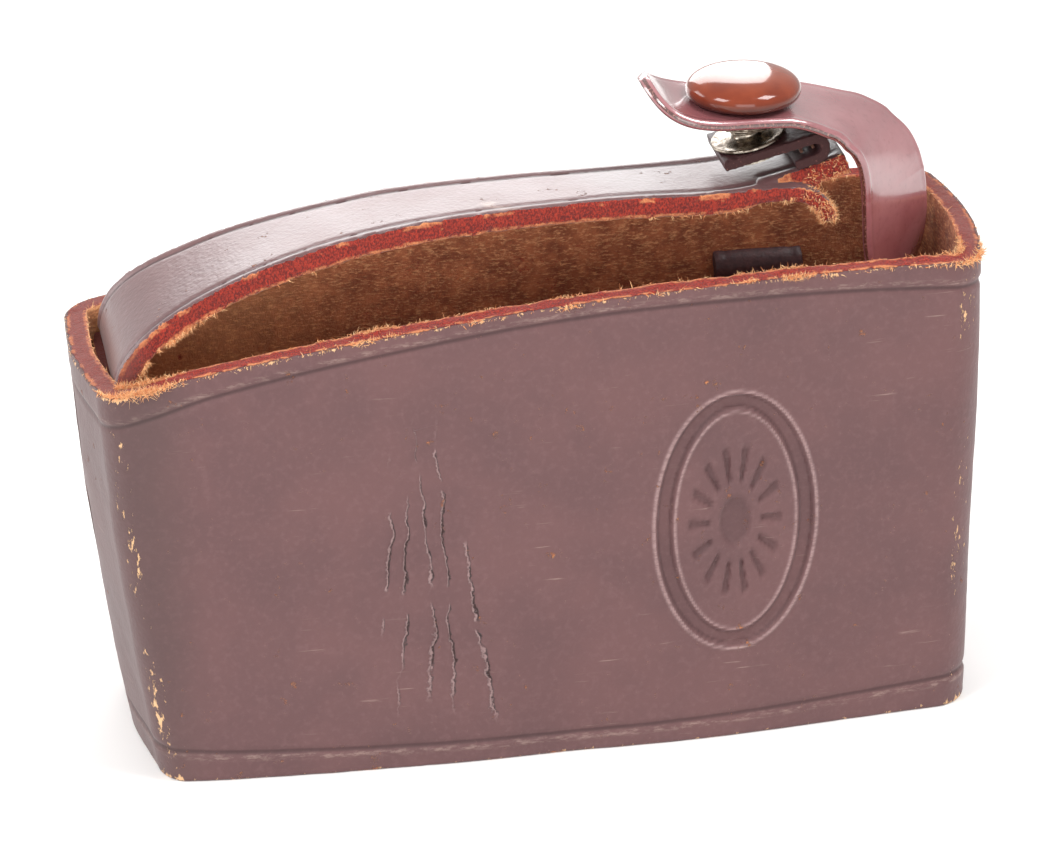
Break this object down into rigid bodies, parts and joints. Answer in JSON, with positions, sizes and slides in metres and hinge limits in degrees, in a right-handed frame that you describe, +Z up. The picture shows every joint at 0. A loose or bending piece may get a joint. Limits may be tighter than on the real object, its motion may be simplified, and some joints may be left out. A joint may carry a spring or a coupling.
{
  "type": "leather light meter case",
  "caption": "Stiff leather case for a hand-held light meter: open sleeve, inner tray, arched cover flap and a snap strap.",
  "frame": {"origin": "middle of the resting face, halfway along the case and through its depth", "axes": "+X along the case from the flap's bend to the strap, -Y out of the front wall, +Z up"},
  "size_m": [0.1228, 0.0427, 0.0914],
  "materials": {
    "thick_leather": "satin oxblood grain, raw suede inside",
    "strap_leather": "glossy oxblood grain",
    "thread": "waxed thread",
    "snap_metal": "worn nickel plate on brass",
    "spring_wire": "bright wire",
    "rivet_metal": "dull brass",
    "cap_enamel": "glossy brown enamel"
  },
  "bodies": {
    "case": {"outer_sleeve": "thick_leather", "seam_stitches": "thread", "inner_tray": "thick_leather", "belt_loop": "strap_leather", "belt_loop_rivets": "rivet_metal", "strap_root": "strap_leather", "strap_rivets": "rivet_metal"},
    "cover": {"cover_flap": "thick_leather", "stud_tab": "strap_leather", "tab_stitches": "thread", "snap_stud": "snap_metal", "stud_eyelet": "snap_metal"},
    "strap_riser": {"strap_riser": "strap_leather"},
    "strap_end": {"strap_end": "strap_leather", "snap_cap": "cap_enamel", "snap_socket": "snap_metal", "snap_spring": "spring_wire"}
  },
  "joints": [
    {"name": "strap_swing", "type": "hinge", "parent": "case", "child": "strap_riser", "pos_m": [0.04894, 0, 0.0662], "axis": [0.7071, 0.7071, 0], "range_deg": [0, 33]},
    {"name": "strap_peel", "type": "hinge", "parent": "strap_riser", "child": "strap_end", "pos_m": [0.0449, 0, 0.0806], "axis": [0.5299, 0.848, 0], "range_deg": [0, 110]},
    {"name": "cover_open", "type": "hinge", "parent": "case", "child": "cover", "pos_m": [-0.0576, 0, 0.0552], "axis": [0, -1, 0], "range_deg": [0, 11]}
  ],
  "couplings": [
    {"joint": "strap_swing", "follows": "strap_peel", "ratio": 0.3},
    {"joint": "cover_open", "follows": "strap_peel", "ratio": 0.1}
  ]
}
